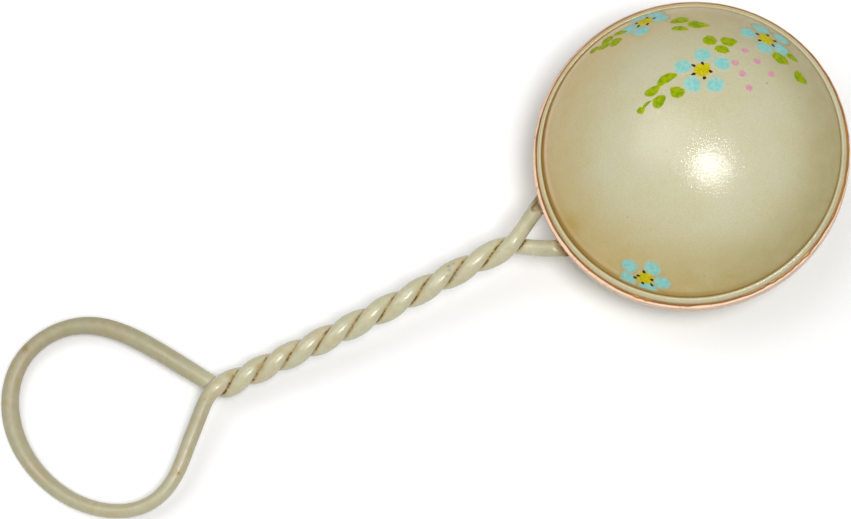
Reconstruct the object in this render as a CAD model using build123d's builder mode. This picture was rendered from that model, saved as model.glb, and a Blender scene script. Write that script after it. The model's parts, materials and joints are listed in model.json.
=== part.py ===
"""Celluloid baby rattle: a flat round rattle head made of two thin domes on a rim hoop,
and a handle bent from one round rod, whose two halves are twisted into a grip and open
into a finger loop.  Loose clay pellets roll inside the head.  Units: millimetres.

The rattle is modelled as it lies on a table: +Z is up, the back dome and the far end of
the loop touch Z = 0, +X runs along the handle towards the head, and the origin is the
middle of the bounding box's bottom.  Most sizes are given in the head's own frame, whose
x runs along the grip towards the head, y across it, and z out of the front dome.
"""

from build123d import *
import math
import os

# --- Driving dimensions -----------------------------------------------------------------

# Domes, each a cap of a sphere
dome_sphere_radius = 34.4
dome_height = 20.8  # from the head's middle plane to the top of the dome
dome_foot_radius = 29.7  # where the dome drops into a crease
wall = 0.8

# Rolled bead round each dome's foot, and the lip under it that plugs into the hoop
bead_edge_radius = 30.9
bead_radius = 0.6
bead_height = 2.8  # of the bead's centre
crease_angle = 30.0  # the crease is this far up the bead's inner side, in degrees
lip_outer_radius = 30.15
lip_thickness = 0.7
lip_gap = 0.15  # from the lip's end to the head's middle plane

# Rim hoop between the two shells
hoop_radius = 31.5
hoop_inner_radius = 30.2
hoop_width = 3.2
hoop_edge_rounding = 0.2
parting_groove_width = 0.16
parting_groove_depth = 0.1

# Cement
cement_thickness = 0.15
joint_cement_thickness = 0.3
joint_cement_radius = 1.8

# Handle rod, drawn thinner where it is twisted
strand_diameter = 2.7
upper_end_diameter = 3.2
lower_end_diameter = 3.4
strand_offset = 1.48  # from the grip's axis to the corners of each strand's route
grip_side_at_loop = -2.8  # the grip's axis lies this far beside the head's centre
grip_side_at_head = -1.35
grip_bend_start = -85.0
grip_bend_end = -38.0
first_crossing = -106.2  # the crossing next to the loop
first_half_turn = 6.35
half_turn_growth = 0.115  # the twist grows slacker towards the head
half_turns = 9
steps_per_half_turn = 4
bend_share = 0.45  # of the run before or after a corner, taken up by the bend at that corner

# The finger loop's route, from the first crossing round to the same crossing
loop_route = [
    (-108.8, 1.0, -1.2),
    (-112.5, 6.3, -0.5),
    (-117.9, 14.1, 0.0),
    (-124.8, 21.0, 0.0),
    (-133.5, 23.3, 0.0),
    (-142.1, 21.0, 0.0),
    (-147.6, 14.3, 0.0),
    (-149.4, 5.5, 0.0),
    (-147.6, -3.4, 0.0),
    (-143.3, -11.1, 0.0),
    (-136.6, -16.9, 0.0),
    (-128.6, -19.3, 0.0),
    (-121.6, -16.4, 0.0),
    (-116.6, -10.9, 0.1),
    (-112.1, -6.7, 0.6),
    (-108.7, -4.0, 1.2),
]
# The rod's thickness at even steps round the loop, its upper half first
loop_diameters = [2.7, 3.4, 3.75, 3.75, 3.65, 3.2, 3.4, 3.65, 3.6]
loop_diameters += [3.25, 3.0, 2.9, 2.85, 2.9, 3.05, 3.0, 2.7]
loop_far_end = -148.99  # where the loop rests on the table, on the rod's centre line
loop_far_radius = 1.813

# The two legs' routes, from the last crossing into the rim
upper_leg = [(-37.8, -0.3, 1.2), (-34.35, 2.0, 0.7), (-29.15, 5.1, 0.1)]
lower_leg = [(-37.3, -3.0, -1.2), (-33.75, -5.2, -0.7), (-28.5, -7.3, -0.1)]

# Scarf filed on the front of each end of the rod, where it meets the rim
scarf_depth = 0.75
scarf_slope = 24.0  # degrees to the leg
scarf_size = 6.0

# Pellets, each rolling round the back dome in a lane of its own
pellet_diameter = 4.5
pellet_clearance = 0.3
pellet_spacing = 5.0
pellet_names = ["pellet_%d" % number for number in range(1, 8)]

# --- Worked out -------------------------------------------------------------------------

sphere_drop = dome_sphere_radius - dome_height  # a dome's sphere centre is this far behind
inner_sphere_radius = dome_sphere_radius - wall

# The head leans so that the back dome and the loop's far end both touch the table.
far_reach = math.hypot(sphere_drop, loop_far_end)
lean = math.asin((dome_sphere_radius - loop_far_radius) / far_reach)
lean -= math.atan2(sphere_drop, -loop_far_end)
front_end = hoop_radius * math.cos(lean) + hoop_width / 2 * math.sin(lean)
rear_end = loop_far_end * math.cos(lean) - loop_far_radius
head_centre = Vector(-(front_end + rear_end) / 2, 0, dome_sphere_radius - sphere_drop * math.cos(lean))
along_grip = Vector(math.cos(lean), 0, math.sin(lean))
head_normal = Vector(-math.sin(lean), 0, math.cos(lean))

head_plane = Plane(origin=head_centre, x_dir=along_grip, z_dir=head_normal)
head_section = Plane(origin=head_centre, x_dir=along_grip, z_dir=(0, -1, 0))
head_axis = Axis(head_centre, head_normal)


def dome_point(sphere_radius, radius):
    """A point of a dome's outline at a distance from the head's axis."""
    return (radius, math.sqrt(sphere_radius**2 - radius**2) - sphere_drop)


def grip_side(x):
    """How far the grip's axis lies beside the head's centre: it bows gently near the head."""
    share = min(max((x - grip_bend_start) / (grip_bend_end - grip_bend_start), 0), 1)
    return grip_side_at_loop + (grip_side_at_head - grip_side_at_loop) * share**2 * (3 - 2 * share)


def strand_point(turned, opposite):
    """A corner of a strand's route, a number of half turns after the first crossing.

    The strands form a left-handed twist.  The one that is not opposite is in front at
    the first crossing.
    """
    angle = math.radians(90 - 180 * turned) + math.pi * opposite
    x = first_crossing + first_half_turn * turned + half_turn_growth * turned**2
    return (x, grip_side(x) + strand_offset * math.cos(angle), strand_offset * math.sin(angle))


def bend_radii(route):
    """The largest arcs that fit at a route's corners, and leave a straight run between."""
    corners = [Vector(*point) for point in route]
    radii = []
    for before, corner, after in zip(corners, corners[1:], corners[2:]):
        arriving = corner - before
        leaving = after - corner
        half_turn = math.radians(arriving.get_angle(leaving)) / 2
        bend_length = bend_share * min(arriving.length, leaving.length)
        radii.append(bend_length / math.tan(half_turn))
    return radii


def midpoint(start, end):
    """The middle of a straight run."""
    return tuple((a + b) / 2 for a, b in zip(start, end))


def in_row(point):
    """A point of the head's frame, in the row's frame."""
    return head_plane.from_local_coords(Vector(*point))


def rim_contact(leg):
    """Where a leg's last run meets the rim, in the head's frame."""
    start = Vector(*leg[-2])
    run = Vector(*leg[-1]) - start
    run_squared = run.X**2 + run.Y**2
    inward = start.X * run.X + start.Y * run.Y
    outside = start.X**2 + start.Y**2 - hoop_radius**2
    share = (-inward - math.sqrt(inward**2 - run_squared * outside)) / run_squared
    return start + run * share


def finish(piece, name):
    """Name a finished piece and write it out."""
    piece.label = name
    export_step(piece, f"parts/{name}.step")


os.makedirs("parts", exist_ok=True)

# --- Shells and their cement ------------------------------------------------------------

for side_name, side in (("front", 1), ("back", -1)):
    side_section = Plane(origin=head_centre, x_dir=along_grip, z_dir=(0, -side, 0))

    with BuildPart() as shell:
        with BuildSketch(side_section):
            with BuildLine():
                foot = dome_point(dome_sphere_radius, dome_foot_radius)
                bead_centre_radius = bead_edge_radius - bead_radius
                crease = (
                    bead_centre_radius - bead_radius * math.cos(math.radians(crease_angle)),
                    bead_height + bead_radius * math.sin(math.radians(crease_angle)),
                )
                lip_inner_radius = lip_outer_radius - lip_thickness
                inner_foot = dome_point(inner_sphere_radius, lip_inner_radius)
                bead_bottom = hoop_width / 2 + cement_thickness
                ThreePointArc(
                    (0, dome_height),
                    dome_point(dome_sphere_radius, dome_foot_radius / 2),
                    foot,
                )
                Line(foot, crease)
                ThreePointArc(
                    crease,
                    (bead_centre_radius, bead_height + bead_radius),
                    (bead_edge_radius, bead_height),
                )
                Polyline(
                    (bead_edge_radius, bead_height),
                    (bead_edge_radius, bead_bottom),
                    (lip_outer_radius, bead_bottom),
                    (lip_outer_radius, lip_gap),
                    (lip_inner_radius, lip_gap),
                    inner_foot,
                )
                ThreePointArc(
                    inner_foot,
                    dome_point(inner_sphere_radius, dome_foot_radius / 2),
                    (0, dome_height - wall),
                )
                Line((0, dome_height - wall), (0, dome_height))
            make_face()
        revolve(axis=head_axis)
    finish(shell.part, f"{side_name}_shell")

    with BuildPart() as shell_cement:
        cement_plane = Plane(
            origin=head_centre + head_normal * side * hoop_width / 2,
            x_dir=along_grip,
            z_dir=head_normal * side,
        )
        with BuildSketch(cement_plane):
            Circle(bead_edge_radius)
            Circle(hoop_inner_radius, mode=Mode.SUBTRACT)
        extrude(amount=cement_thickness)
    finish(shell_cement.part, f"{side_name}_shell_cement")

# --- Rim hoop ---------------------------------------------------------------------------

with BuildPart() as rim_hoop:
    with BuildSketch(head_section):
        with Locations(((hoop_radius + hoop_inner_radius) / 2, 0)):
            band = Rectangle(hoop_radius - hoop_inner_radius, hoop_width)
        outer_corners = band.vertices().group_by(Axis.X)[-1]
        fillet(outer_corners, hoop_edge_rounding)
        with Locations((hoop_radius, 0)):
            Rectangle(2 * parting_groove_depth, parting_groove_width, mode=Mode.SUBTRACT)
    revolve(axis=head_axis)
finish(rim_hoop.part, "rim_hoop")

# --- Handle rod -------------------------------------------------------------------------

strand_steps = [step / steps_per_half_turn for step in range(half_turns * steps_per_half_turn + 1)]
upper_strand = [strand_point(turned, opposite=True) for turned in strand_steps]
lower_strand = [strand_point(turned, opposite=False) for turned in strand_steps]

# The rod is swept in spans that meet in the middle of straight runs.
upper_fork = midpoint(upper_strand[-1], upper_leg[0])
upper_entry = midpoint(upper_strand[0], loop_route[0])
lower_entry = midpoint(lower_strand[0], loop_route[-1])
lower_fork = midpoint(lower_strand[-1], lower_leg[0])
spans = [
    ([upper_fork] + upper_leg, [strand_diameter, upper_end_diameter, upper_end_diameter]),
    ([upper_entry] + upper_strand + [upper_fork], [strand_diameter]),
    ([upper_entry] + loop_route + [lower_entry], loop_diameters),
    ([lower_entry] + lower_strand + [lower_fork], [strand_diameter]),
    ([lower_fork] + lower_leg, [strand_diameter, lower_end_diameter, lower_end_diameter]),
]

with BuildPart() as handle_rod:
    for route, diameters in spans:
        with BuildLine(head_plane) as span_line:
            FilletPolyline(*route, radius=bend_radii(route))
        for step, diameter in enumerate(diameters):
            share = step / max(len(diameters) - 1, 1)
            ahead = span_line.line % share
            with BuildSketch(Plane(span_line.line @ share, ahead.cross(head_normal), ahead)):
                Circle(diameter / 2)
        sweep(path=span_line.line, multisection=len(diameters) > 1)
    with BuildSketch(head_plane):
        Circle(hoop_radius + joint_cement_thickness)
    extrude(amount=hoop_width, both=True, mode=Mode.SUBTRACT)
    for leg, end_diameter in ((upper_leg, upper_end_diameter), (lower_leg, lower_end_diameter)):
        contact = in_row(rim_contact(leg))
        leg_direction = (in_row(leg[-1]) - in_row(leg[-2])).normalized()
        tilt = math.radians(scarf_slope)
        scarf_normal = head_normal * math.cos(tilt) + leg_direction * math.sin(tilt)
        scarf_start = contact + head_normal * (end_diameter / 2 - scarf_depth)
        with BuildSketch(Plane(origin=scarf_start, z_dir=scarf_normal)):
            Rectangle(scarf_size, scarf_size)
        extrude(amount=end_diameter, mode=Mode.SUBTRACT)
finish(handle_rod.part, "handle_rod")

# Cement between the rod's ends and the hoop
for leg_name, leg in (("upper", upper_leg), ("lower", lower_leg)):
    leg_start = in_row(leg[-2])
    leg_run = in_row(leg[-1]) - leg_start
    with BuildPart() as joint_cement:
        with BuildSketch(Plane(origin=leg_start, z_dir=leg_run)):
            Circle(joint_cement_radius)
        extrude(amount=leg_run.length)
        with BuildSketch(head_plane):
            Circle(hoop_radius + joint_cement_thickness)
            Circle(hoop_radius, mode=Mode.SUBTRACT)
        extrude(amount=hoop_width, both=True, mode=Mode.INTERSECT)
    finish(joint_cement.part, f"{leg_name}_joint_cement")

# --- Pellets ----------------------------------------------------------------------------

back_sphere_centre = head_centre + head_normal * sphere_drop
roll_radius = inner_sphere_radius - pellet_clearance - pellet_diameter / 2

for number, name in enumerate(pellet_names):
    lane = (number - (len(pellet_names) - 1) / 2) * pellet_spacing
    depth = math.sqrt(roll_radius**2 - lane**2)
    with BuildPart(Plane(origin=back_sphere_centre + Vector(0, lane, -depth))) as pellet:
        Sphere(pellet_diameter / 2)
    finish(pellet.part, name)
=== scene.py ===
"""Looks of the celluloid baby rattle: aged cream domes with a hand-painted spray of flowers,
a rim sealed with amber cement, and a handle of twisted rod.

Shapes are worked out in the head's own frame, in millimetres: x along the grip towards
the head, y across it, z out of the front dome, from the middle of the rim.  The head's
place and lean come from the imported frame.
"""

import json
import math
import random

import bmesh
import bpy
import numpy as np
from mathutils import Matrix, Vector, noise


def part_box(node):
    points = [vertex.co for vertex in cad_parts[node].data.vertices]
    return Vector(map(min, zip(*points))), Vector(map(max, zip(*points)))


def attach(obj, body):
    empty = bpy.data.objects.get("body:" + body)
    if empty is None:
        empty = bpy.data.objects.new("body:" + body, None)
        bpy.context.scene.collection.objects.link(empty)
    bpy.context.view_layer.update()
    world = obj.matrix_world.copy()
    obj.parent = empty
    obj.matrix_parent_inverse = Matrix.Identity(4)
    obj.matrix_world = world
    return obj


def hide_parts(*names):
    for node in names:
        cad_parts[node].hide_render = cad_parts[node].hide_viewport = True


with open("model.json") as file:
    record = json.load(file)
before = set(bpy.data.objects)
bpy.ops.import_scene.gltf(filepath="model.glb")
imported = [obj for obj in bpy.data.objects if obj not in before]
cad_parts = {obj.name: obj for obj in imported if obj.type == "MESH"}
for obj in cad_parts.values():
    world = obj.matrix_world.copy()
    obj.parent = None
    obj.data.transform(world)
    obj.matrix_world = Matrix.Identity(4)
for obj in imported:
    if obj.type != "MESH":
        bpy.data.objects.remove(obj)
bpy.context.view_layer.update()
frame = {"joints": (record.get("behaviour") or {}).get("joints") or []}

MM = 0.001
BODY = "rattle"

# --- Sizes of the head, in millimetres ---

SPHERE_RADIUS = 34.4
DOME_HEIGHT = 20.8
FOOT_RADIUS = 29.55
CREASE_RADIUS = 29.62
WALL = 0.8
BEAD_RADIUS = 30.75
BEAD_HEIGHT = 1.9
BEAD_CREST_RADIUS = 30.0
BEAD_CREST_HEIGHT = 3.3
BEAD_UNDERCUT = 0.16
LIP_RADIUS = 30.15
LIP_INNER_RADIUS = 29.45
LIP_GAP = 0.15
HOOP_RADIUS = 31.5
HOOP_INNER_RADIUS = 30.2
HOOP_HALF_WIDTH = 1.6
HOOP_ROUNDING = 0.2
HOOP_SHIFT = 0.2
HOOP_SHIFT_TOWARDS = 200.0
CEMENT = 0.15
OOZE_RADIUS = 31.1
PELLET_RADIUS = 2.25

SPHERE_DROP = SPHERE_RADIUS - DOME_HEIGHT
AROUND = 400

# Directions round the head, in degrees, where age shows most
LEFT = 150.0
TOP = 75.0
RIGHT = -50.0

# --- The head's frame ---


def middle(node):
    """The middle of a CAD node's box, in metres."""
    low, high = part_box(node)
    return (Vector(low) + Vector(high)) / 2


# The pellets roll about the centre of the back dome's sphere, which is on the head's axis.
joint_places = {joint["name"]: Vector(joint["pos_m"]) for joint in frame["joints"]}
head_centre = middle("rim_hoop")
head_normal = (joint_places["pellet_4_roll"] - head_centre).normalized()
along_grip = Vector((head_normal.z, 0, -head_normal.x))
across_grip = Vector((0, 1, 0))
HEAD_AXES = np.array([along_grip, across_grip, head_normal])


def in_row(points):
    """Points of the head's frame as points of the row's frame, in metres."""
    return np.asarray(points, float) * MM @ HEAD_AXES + np.array(head_centre)


# --- Numbers that vary over a surface ---


def ease(low, high, values):
    """Ease from 0 at low to 1 at high."""
    share = np.clip((values - low) / (high - low), 0, 1)
    return share * share * (3 - 2 * share)


def band(values, centre, width):
    """1 at a value, falling to 0 on both sides."""
    return np.exp(-(((values - centre) / width) ** 2))


def spot(points, x, y, spread):
    """1 at a place on the head's plane, falling to 0 round it."""
    return band(np.hypot(points[:, 0] - x, points[:, 1] - y), 0, spread)


def sector(degrees, towards, spread):
    """1 in a direction round the rim, in degrees, falling to 0 beside it."""
    return band((degrees - towards + 180) % 360 - 180, 0, spread)


def round_rim(points):
    """Each point's distance from the head's axis, and direction round it in degrees."""
    return np.hypot(points[:, 0], points[:, 1]), np.degrees(np.arctan2(points[:, 1], points[:, 0]))


def drift(points, size, seed):
    """Smooth noise from -1 to 1 at each point, with waves of about a size."""
    shift = Vector((seed, seed * 1.7, seed * 2.3))
    return np.array([noise.noise(Vector(point) / size + shift) for point in points])


# --- Meshes ---


def ring_angles(count):
    """Even angles round a circle."""
    return np.linspace(0, 2 * math.pi, count, endpoint=False)


def square_to(directions, vectors):
    """The part of vectors at right angles to unit directions, scaled to length one."""
    rest = vectors - np.sum(vectors * directions, axis=-1, keepdims=True) * directions
    return rest / np.linalg.norm(rest, axis=-1, keepdims=True)


def add_object(name, data):
    """Put an object in the scene."""
    thing = bpy.data.objects.new(name, data)
    bpy.context.scene.collection.objects.link(thing)
    return thing


def add_piece(mesh, body, material, node=None):
    """Make a smooth mesh a piece of a body, in place of a CAD node if any."""
    for polygon in mesh.polygons:
        polygon.use_smooth = True
    mesh.materials.append(material)
    piece = add_object(mesh.name, mesh)
    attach(piece, body)
    if node:
        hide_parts(node)
    return piece


def make_piece(name, points, faces, material, node=None):
    """A piece of the rattle's body, from points of the head's frame."""
    mesh = bpy.data.meshes.new(name)
    mesh.from_pydata(in_row(points).tolist(), [], faces)
    mesh.validate()
    shape = bmesh.new()
    shape.from_mesh(mesh)
    bmesh.ops.recalc_face_normals(shape, faces=shape.faces)
    shape.to_mesh(mesh)
    shape.free()
    return add_piece(mesh, BODY, material, node)


def store(piece, name, values):
    """Store a number for each point of a piece, for its material to read."""
    attribute = piece.data.attributes.new(name, "FLOAT", "POINT")
    attribute.data.foreach_set("value", np.asarray(values, np.float32))


def grid_faces(rows, columns, close_rows=False):
    """Quads over rows of points that each close on themselves."""
    faces = []
    for row in range(rows if close_rows else rows - 1):
        this_row = row * columns
        next_row = (row + 1) % rows * columns
        for column in range(columns):
            beside = (column + 1) % columns
            faces.append((this_row + column, this_row + beside, next_row + beside, next_row + column))
    return faces


def capped(points, columns, first_tip, last_tip):
    """Rows of points closed by a fan at each end: the points and their faces."""
    count = len(points)
    faces = grid_faces(count // columns, columns)
    last_row = count - columns
    for column in range(columns):
        beside = (column + 1) % columns
        faces.append((beside, column, count))
        faces.append((last_row + column, last_row + beside, count + 1))
    return np.vstack([points, first_tip, last_tip]), faces


def turned(profile, steps):
    """Points of an outline of (radius, height) turned about the head's axis."""
    angles = ring_angles(steps)
    radius, height = np.array(profile).T[:, :, None]
    x = radius * np.cos(angles)
    y = radius * np.sin(angles)
    return np.stack([x, y, height + 0 * x], 2).reshape(-1, 3)


def arc(centre, radius, start, end, steps):
    """Points of an arc between two angles in degrees."""
    angles = np.radians(np.linspace(start, end, steps))
    return [(centre[0] + radius * math.cos(a), centre[1] + radius * math.sin(a)) for a in angles]


def push_out(points, distance):
    """Move points away from the head's axis, each by its own distance."""
    radius = round_rim(points)[0]
    points[:, :2] *= (1 + distance / radius)[:, None]


# --- Dome surface ---

SPHERE_CENTRE = np.array([0.0, 0.0, -SPHERE_DROP])
WAVE_DEPTH = 0.035
RIPPLE_DEPTH = 0.009


def dents(directions, side):
    """Faint waves that pressing left in the dome, along each direction."""
    places = directions * SPHERE_RADIUS
    wave = WAVE_DEPTH * drift(places, 16.0, 3.1 * side)
    ripple = RIPPLE_DEPTH * drift(places, 5.0, 8.4 * side)
    return (wave + ripple) * ease(0.5, 0.56, directions[:, 2])


def on_dome(directions, lift, side=1):
    """Points at a height above the dome, along directions from its sphere's centre."""
    radii = SPHERE_RADIUS + dents(directions, side) + lift
    return SPHERE_CENTRE + directions * radii[:, None]


def dome_direction(x, y):
    """The direction from the sphere's centre to the dome's point above (x, y)."""
    return np.array([x, y, math.sqrt(SPHERE_RADIUS**2 - x * x - y * y)]) / SPHERE_RADIUS


def level_axes(direction):
    """Two directions square to one, the first nearest to x."""
    first = square_to(direction, np.array([1.0, 0, 0]))
    return first, np.cross(direction, first)


def walk(direction, angle, steps_x, steps_y):
    """Directions reached by walking from one, with x turned by an angle in degrees."""
    first, second = level_axes(direction)
    turn = math.radians(angle)
    ahead = math.cos(turn) * first + math.sin(turn) * second
    aside = np.cross(direction, ahead)
    steps = np.outer(steps_x, ahead) + np.outer(steps_y, aside)
    length = np.linalg.norm(steps, axis=1)[:, None] + 1e-9
    spread = length / SPHERE_RADIUS
    return np.cos(spread) * direction + np.sin(spread) * steps / length


# --- Materials ---


class Look:
    """A material with one Principled shader, and short calls that add nodes to it."""

    def __init__(self, name):
        self.material = bpy.data.materials.new(name)
        self.material.use_nodes = True
        self.tree = self.material.node_tree
        self.surface = self.tree.nodes["Principled BSDF"]
        place = self.add("TexCoord", {}).outputs["Object"]
        self.place = self.add("VectorMath", {0: place, "Scale": 1 / MM}, operation="SCALE").outputs[0]

    def feed(self, socket, value):
        """Link a socket, or set it if the value is plain."""
        if isinstance(value, bpy.types.NodeSocket):
            self.tree.links.new(value, socket)
        else:
            socket.default_value = value

    def add(self, kind, inputs, **modes):
        """A node with its modes set, and its inputs linked or set."""
        node = self.tree.nodes.new("ShaderNode" + kind)
        for mode, value in modes.items():
            setattr(node, mode, value)
        for name, value in inputs.items():
            self.feed(node.inputs[name], value)
        return node

    def shifted(self, offset):
        """The place on the object, moved, so that no two patterns agree."""
        return self.add("VectorMath", {0: self.place, 1: offset}, operation="ADD").outputs[0]

    def noise(self, size, detail=4.0, roughness=0.6, distortion=0.0, seed=0.0):
        """Noise from 0 to 1 with waves of about a size in millimetres."""
        inputs = {"Vector": self.shifted((seed, seed * 2.0, -seed)), "Scale": 1 / size}
        inputs.update({"Detail": detail, "Roughness": roughness, "Distortion": distortion})
        return self.add("TexNoise", inputs).outputs["Fac"]

    def specks(self, size, seed):
        """Distance to scattered points, in their own spacing."""
        inputs = {"Vector": self.shifted((seed, -seed, seed * 3.0)), "Scale": 1 / size}
        return self.add("TexVoronoi", inputs).outputs["Distance"]

    def circle(self, centre, radius, width):
        """1 on a thin circle about a point, falling to 0 beside it."""
        centre = in_row([centre])[0] / MM
        away = self.add("VectorMath", {0: self.place, 1: centre}, operation="DISTANCE")
        off = self.math("ABSOLUTE", self.math("SUBTRACT", away.outputs["Value"], radius), 0.0)
        return self.span(off, 0.0, width, 1.0, 0.0)

    def attribute(self, name):
        """A number stored on the mesh's points."""
        return self.add("Attribute", {}, attribute_name=name).outputs["Fac"]

    def span(self, value, low, high, start=0.0, end=1.0):
        """Map a range smoothly to another."""
        inputs = {"Value": value, "From Min": low, "From Max": high, "To Min": start, "To Max": end}
        return self.add("MapRange", inputs, interpolation_type="SMOOTHSTEP").outputs["Result"]

    def math(self, operation, first, second):
        """Arithmetic on two numbers."""
        return self.add("Math", {0: first, 1: second}, operation=operation).outputs[0]

    def times(self, first, second):
        """The product of two numbers."""
        return self.math("MULTIPLY", first, second)

    def mix(self, share, first, second, blend="MIX"):
        """Blend two colours."""
        colours = [(*colour, 1.0) if isinstance(colour, tuple) else colour for colour in (first, second)]
        inputs = {0: share, 6: colours[0], 7: colours[1]}
        return self.add("Mix", inputs, data_type="RGBA", blend_type=blend).outputs[2]

    def bump(self, height, strength, distance, below=None):
        """Bump with a height in millimetres, on top of another normal if any."""
        node = self.add("Bump", {"Height": height, "Strength": strength, "Distance": distance * MM})
        if below is not None:
            self.feed(node.inputs["Normal"], below)
        return node.outputs["Normal"]

    def finish(self, colour, roughness, normal, specular=0.5, **coat):
        """Set or link the surface's inputs and return the material."""
        inputs = {"Base Color": colour, "Roughness": roughness, "Specular IOR Level": specular}
        if normal is not None:
            inputs["Normal"] = normal
        for name, value in coat.items():
            inputs["Coat " + name] = value
        for name, value in inputs.items():
            self.feed(self.surface.inputs[name], value)
        return self.material


CREAM = (0.56, 0.535, 0.35)
CREAM_WARM = (0.53, 0.48, 0.28)
CREAM_COOL = (0.55, 0.54, 0.375)
HONEY = (0.48, 0.315, 0.048)
HONEY_OLIVE = (0.318, 0.243, 0.043)
BROWN = (0.17, 0.095, 0.03)
SPECK = (0.22, 0.19, 0.1)
# Grimy brown with painted shade, for the crease by the bead
CREASE_DIRT_AND_SHADE = (0.31, 0.17, 0.024)
# Colour of the painted glow at the dome's foot
RIM_GLOW = (0.72, 0.44, 0.23)

SCUFF_DEPTH = 0.06
SCRATCH_WIDTH = 0.09
# Fine curved scratches on the front dome: middle of the curve, its radius
SCRATCHES = [
    ((-8.0, -9.0, 19.5), 15.35),
    ((-8.0, -9.0, 19.5), 14.35),
    ((-20.0, 2.0, 15.0), 24.6),
]

# The dome yellows from a radius outwards, sooner and warmer on the side of the handle
STAIN_START = 18.5
STAIN_START_WARM = 14.5
STAIN_FULL = 32.5
WARM_TOWARDS = math.radians(160.0)


def celluloid_colour(look, stain_and_shade):
    """Aged cream celluloid, yellowed and darkened where the stored value of yellowing and painted shade is
    high.
    """
    clouds = look.noise(11.0, seed=3.0)
    mottle = look.noise(1.1, detail=5.0, roughness=0.65, seed=9.0)
    colour = look.mix(look.span(clouds, 0.3, 0.7, 0.15, 0.85), CREAM_WARM, CREAM_COOL)
    colour = look.mix(look.span(mottle, 0.3, 0.7, 0.0, 0.5), colour, CREAM)
    specks = look.span(look.specks(3.1, 5.0), 0.04, 0.10, 1.0, 0.0)
    pits = look.times(specks, look.span(mottle, 0.45, 0.6))
    colour = look.mix(look.times(pits, 0.5), colour, BROWN)
    # Yellowing, with painted shade where the stored value holds it, on the bead and near the top of the
    # dome.
    colour = look.mix(stain_and_shade, colour, look.mix(look.attribute("warm"), HONEY_OLIVE, HONEY))
    grain = look.noise(0.28, detail=2.0, seed=15.0)
    return look.mix(look.span(grain, 0.35, 0.65, 0.0, 0.14), colour, SPECK)


def celluloid_normal(look, grain_depth=0.022):
    """Fine orange-peel and hairline unevenness of worn celluloid."""
    grain = look.noise(0.35, detail=3.0, seed=1.0)
    swell = look.noise(3.5, detail=2.0, roughness=0.5, seed=2.0)
    return look.bump(grain, 0.5, grain_depth, look.bump(swell, 0.25, 0.1))


def scuffed_normal(look, below):
    """Specks and fine scratches that break up the gloss."""
    height = look.noise(0.5, detail=2.0, roughness=0.7, seed=5.0)
    worn = look.span(look.noise(4.0, detail=2.0, roughness=0.5, seed=6.0), 0.48, 0.56)
    for centre, radius in SCRATCHES:
        groove = look.times(look.circle(centre, radius, SCRATCH_WIDTH), worn)
        height = look.math("SUBTRACT", height, look.times(groove, 0.6))
    return look.bump(height, 1.0, SCUFF_DEPTH, below)


def dome_stain_and_shade(look):
    """The dome's yellowing together with its painted shade, broken up into patches."""
    broken = look.noise(4.0, seed=12.0)
    return look.times(look.attribute("stain_and_shade"), look.span(broken, 0.25, 0.75, 0.78, 1.0))


def warm_side(points):
    """From 0 to 1 across the dome, towards the side that is warmer."""
    towards = points[:, 0] * math.cos(WARM_TOWARDS) + points[:, 1] * math.sin(WARM_TOWARDS)
    return ease(-22.0, 16.0, towards)


def edge_stain(points):
    """How far the dome has yellowed towards its edge."""
    start = STAIN_START + (STAIN_START_WARM - STAIN_START) * warm_side(points)
    return ease(start, STAIN_FULL, round_rim(points)[0])


def dome_material():
    """Glossy aged celluloid, matte and grimy in the crease by the bead, which also has painted shade;
    painted glow at the left of its foot.
    """
    look = Look("dome_celluloid")
    colour = celluloid_colour(look, dome_stain_and_shade(look))
    # Painted glow at the left of the dome's foot.
    colour = look.mix(look.attribute("glow"), colour, RIM_GLOW)
    # Grimy darkening and painted shade in the crease by the bead, and painted shade below the bead at the
    # top.
    crease_dirt_and_shade = look.attribute("crease_dirt_and_shade")
    colour = look.mix(crease_dirt_and_shade, colour, CREASE_DIRT_AND_SHADE)
    wear = look.noise(2.0, detail=5.0, roughness=0.7, seed=21.0)
    roughness = look.math("ADD", look.span(wear, 0.3, 0.7, 0.38, 0.48), look.times(crease_dirt_and_shade, 0.4))
    coat = look.span(crease_dirt_and_shade, 0.0, 0.5, 0.7, 0.0)
    normal = celluloid_normal(look, 0.05)
    gloss = scuffed_normal(look, normal)
    return look.finish(colour, roughness, normal, 0.28, Weight=coat, Roughness=0.06, Normal=gloss)


# --- Shells ---

NEAR_AXIS = 89.4  # the domes' arcs stop here, in degrees, short of the axis
DOME_END = 29.7
BEAD_START = 29.8


def shell_profile():
    """The outline of a shell's section, from the dome's top round to its inside."""
    foot_angle = math.degrees(math.asin(FOOT_RADIUS / SPHERE_RADIUS))
    inner_radius = SPHERE_RADIUS - WALL
    inner_angle = math.degrees(math.asin(LIP_INNER_RADIUS / inner_radius))
    centre = (0, -SPHERE_DROP)
    bead_bottom = HOOP_HALF_WIDTH + CEMENT
    outline = arc(centre, SPHERE_RADIUS, NEAR_AXIS, 90 - foot_angle + 0.25, 90)
    dome_points = len(outline)
    outline += [(29.57, 3.62), (29.59, 3.25), (CREASE_RADIUS, 3.04)]
    bead_width = BEAD_RADIUS - BEAD_CREST_RADIUS
    bead_rise = BEAD_CREST_HEIGHT - BEAD_HEIGHT
    for across, up in arc((0, 0), 1.0, 118, -4, 22):
        outline.append((BEAD_CREST_RADIUS + bead_width * across, BEAD_HEIGHT + bead_rise * up))
    outline += [(BEAD_RADIUS - BEAD_UNDERCUT, bead_bottom), (LIP_RADIUS, bead_bottom)]
    outline += [(LIP_RADIUS, LIP_GAP + 0.05), (LIP_RADIUS - 0.1, LIP_GAP)]
    outline += [(LIP_INNER_RADIUS + 0.1, LIP_GAP), (LIP_INNER_RADIUS, LIP_GAP + 0.05)]
    outline += arc(centre, inner_radius, 90 - inner_angle, NEAR_AXIS, 30)
    return outline, dome_points


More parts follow.
